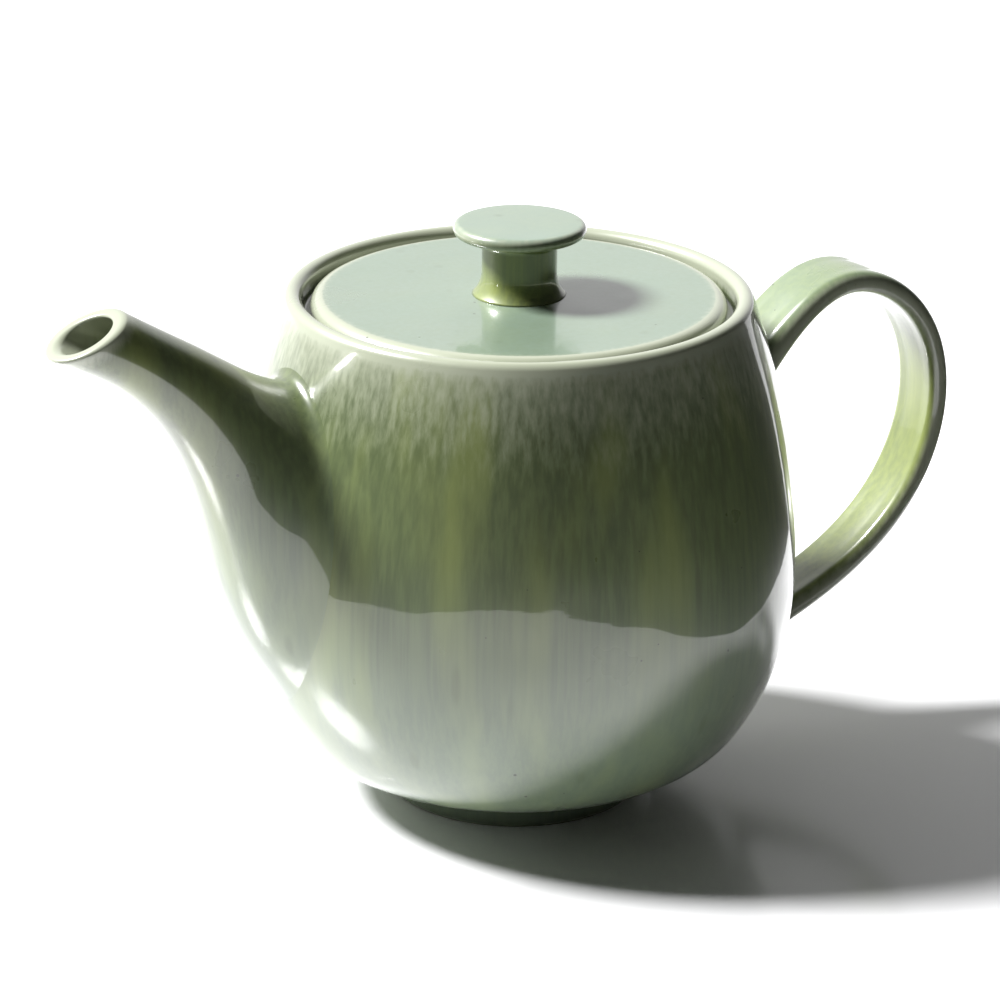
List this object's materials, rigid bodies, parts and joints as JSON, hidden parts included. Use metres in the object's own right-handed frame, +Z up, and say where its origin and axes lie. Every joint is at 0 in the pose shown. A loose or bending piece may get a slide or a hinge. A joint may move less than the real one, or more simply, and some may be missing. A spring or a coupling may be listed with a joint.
{
  "type": "teapot",
  "caption": "Round-bellied glazed stoneware teapot with a side spout, a looped strap handle, a foot ring and a flat recessed lid with a mushroom knob that lifts out.",
  "frame": {"origin": "centre of the foot ring on the plane the pot stands on", "axes": "+Z up along the pot's axis, the spout points to -X and the handle to +X, Y is across; the XZ plane is the plane of symmetry"},
  "size_m": [0.2384, 0.135, 0.1417],
  "materials": {
    "pot_glaze": "gloss",
    "spout_glaze": "gloss",
    "handle_glaze": "gloss",
    "lid_glaze": "gloss",
    "knob_glaze": "gloss"
  },
  "bodies": {
    "pot": {"pot_body": "pot_glaze", "spout": "spout_glaze", "handle": "handle_glaze"},
    "lid": {"lid": "lid_glaze", "lid_knob": "knob_glaze"}
  },
  "joints": [
    {"name": "lid_lift", "type": "slide", "parent": "pot", "child": "lid", "axis": [0, 0, 1], "range_m": [0, 0.08]}
  ]
}
